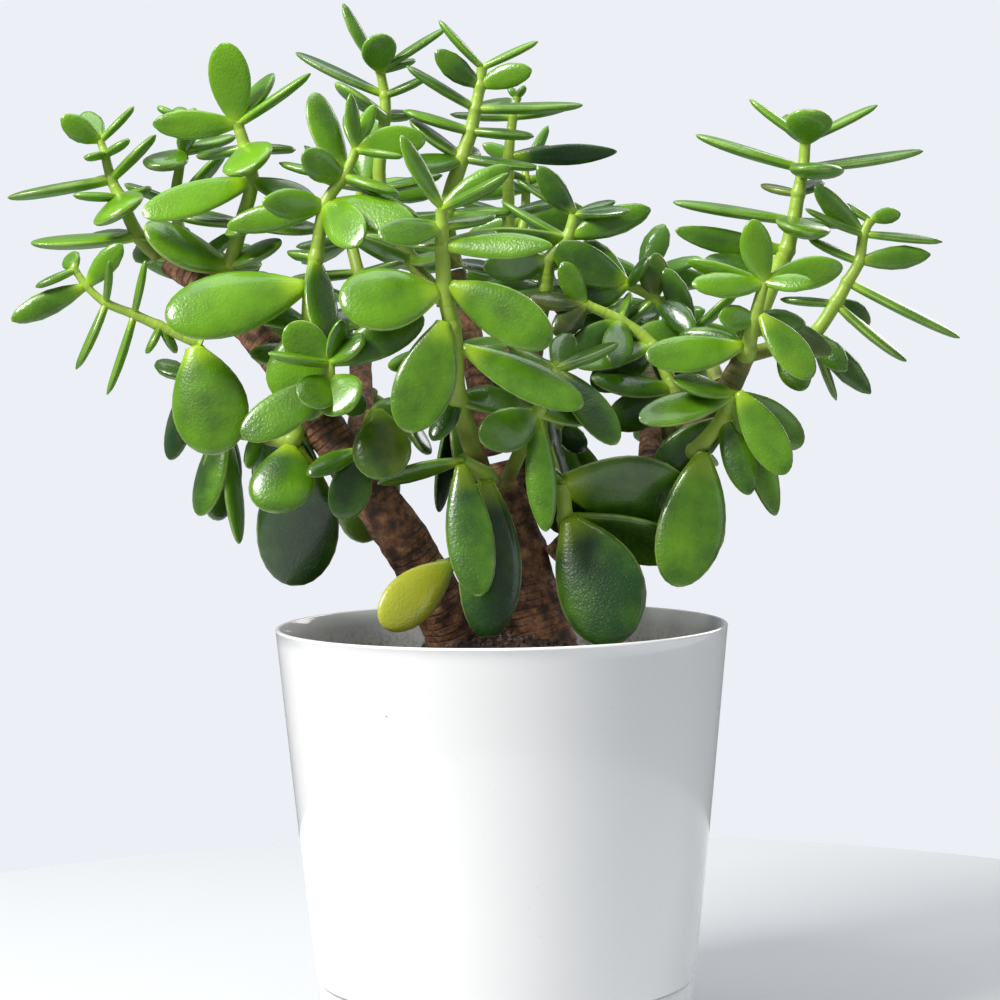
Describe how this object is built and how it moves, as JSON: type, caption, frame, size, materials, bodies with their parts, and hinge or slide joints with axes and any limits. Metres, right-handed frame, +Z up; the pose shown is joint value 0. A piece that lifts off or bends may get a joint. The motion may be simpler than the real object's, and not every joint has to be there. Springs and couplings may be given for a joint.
{
  "type": "potted jade plant",
  "caption": "Branching jade plant with thick oval leaves on woody trunks, in a tapered glossy pot on a flush round saucer.",
  "frame": {"origin": "centre of the saucer's underside, on the surface that the plant stands on", "axes": "+Z up through the pot's axis, -Y towards the front of the plant, +X to its right"},
  "size_m": [0.4187, 0.2292, 0.4656],
  "materials": {
    "pot": "glossy white",
    "saucer": "glossy white",
    "soil": "loose potting soil, matt dark brown",
    "bark": "flaky copper-brown bark",
    "young_bark": "smooth ringed bark, brown to green",
    "foliage": "waxy green leaves with paler margins",
    "yellow_leaf": "waxy yellow leaf"
  },
  "bodies": {
    "root": {"pot": "pot", "saucer": "saucer", "soil": "soil", "trunk_left": "bark", "trunk_right": "bark", "branch_right": "young_bark", "branch_middle": "young_bark", "branch_inner": "young_bark", "branch_back": "young_bark", "branch_back_left": "young_bark", "branch_back_right": "young_bark", "shoot_left_top": "foliage", "shoot_left_dangling": "foliage", "shoot_upper_left": "foliage", "shoot_left_behind": "foliage", "shoot_left_low": "foliage", "shoot_upper_middle": "foliage", "shoot_rosette": "foliage", "shoot_low_middle": "foliage", "shoot_centre": "foliage", "shoot_centre_low": "foliage", "shoot_inner_front": "foliage", "spur_yellow": "foliage", "shoot_right_low": "foliage", "shoot_right_cluster": "foliage", "shoot_right_front": "foliage", "shoot_right_top": "foliage", "shoot_right_side": "foliage", "shoot_inner_right": "foliage", "shoot_inner_dark": "foliage", "shoot_upper_right": "foliage", "shoot_top_behind": "foliage", "shoot_top": "foliage", "shoot_top_left": "foliage", "shoot_back_left": "foliage", "shoot_back_left_low": "foliage", "shoot_back_middle": "foliage", "shoot_back_middle_low": "foliage", "shoot_back_right": "foliage", "shoot_back_right_low": "foliage", "shoot_back_far_left": "foliage", "leaf_left_hanging": "foliage", "leaf_low_shelf": "foliage", "leaf_low_dark": "foliage", "leaf_left_glossy": "foliage", "leaf_left_broad": "foliage", "leaf_low_bright": "foliage", "leaf_centre_right": "foliage", "leaf_centre_front": "foliage", "leaf_centre_left": "foliage", "leaf_centre_broad": "foliage", "leaf_low_front": "foliage", "leaf_low_narrow": "foliage", "leaf_yellow": "yellow_leaf", "leaf_low_right": "foliage", "leaf_right_hanging": "foliage", "leaf_right_long": "foliage", "leaf_right_shelf": "foliage", "leaf_right_bright": "foliage"}
  },
  "joints": []
}
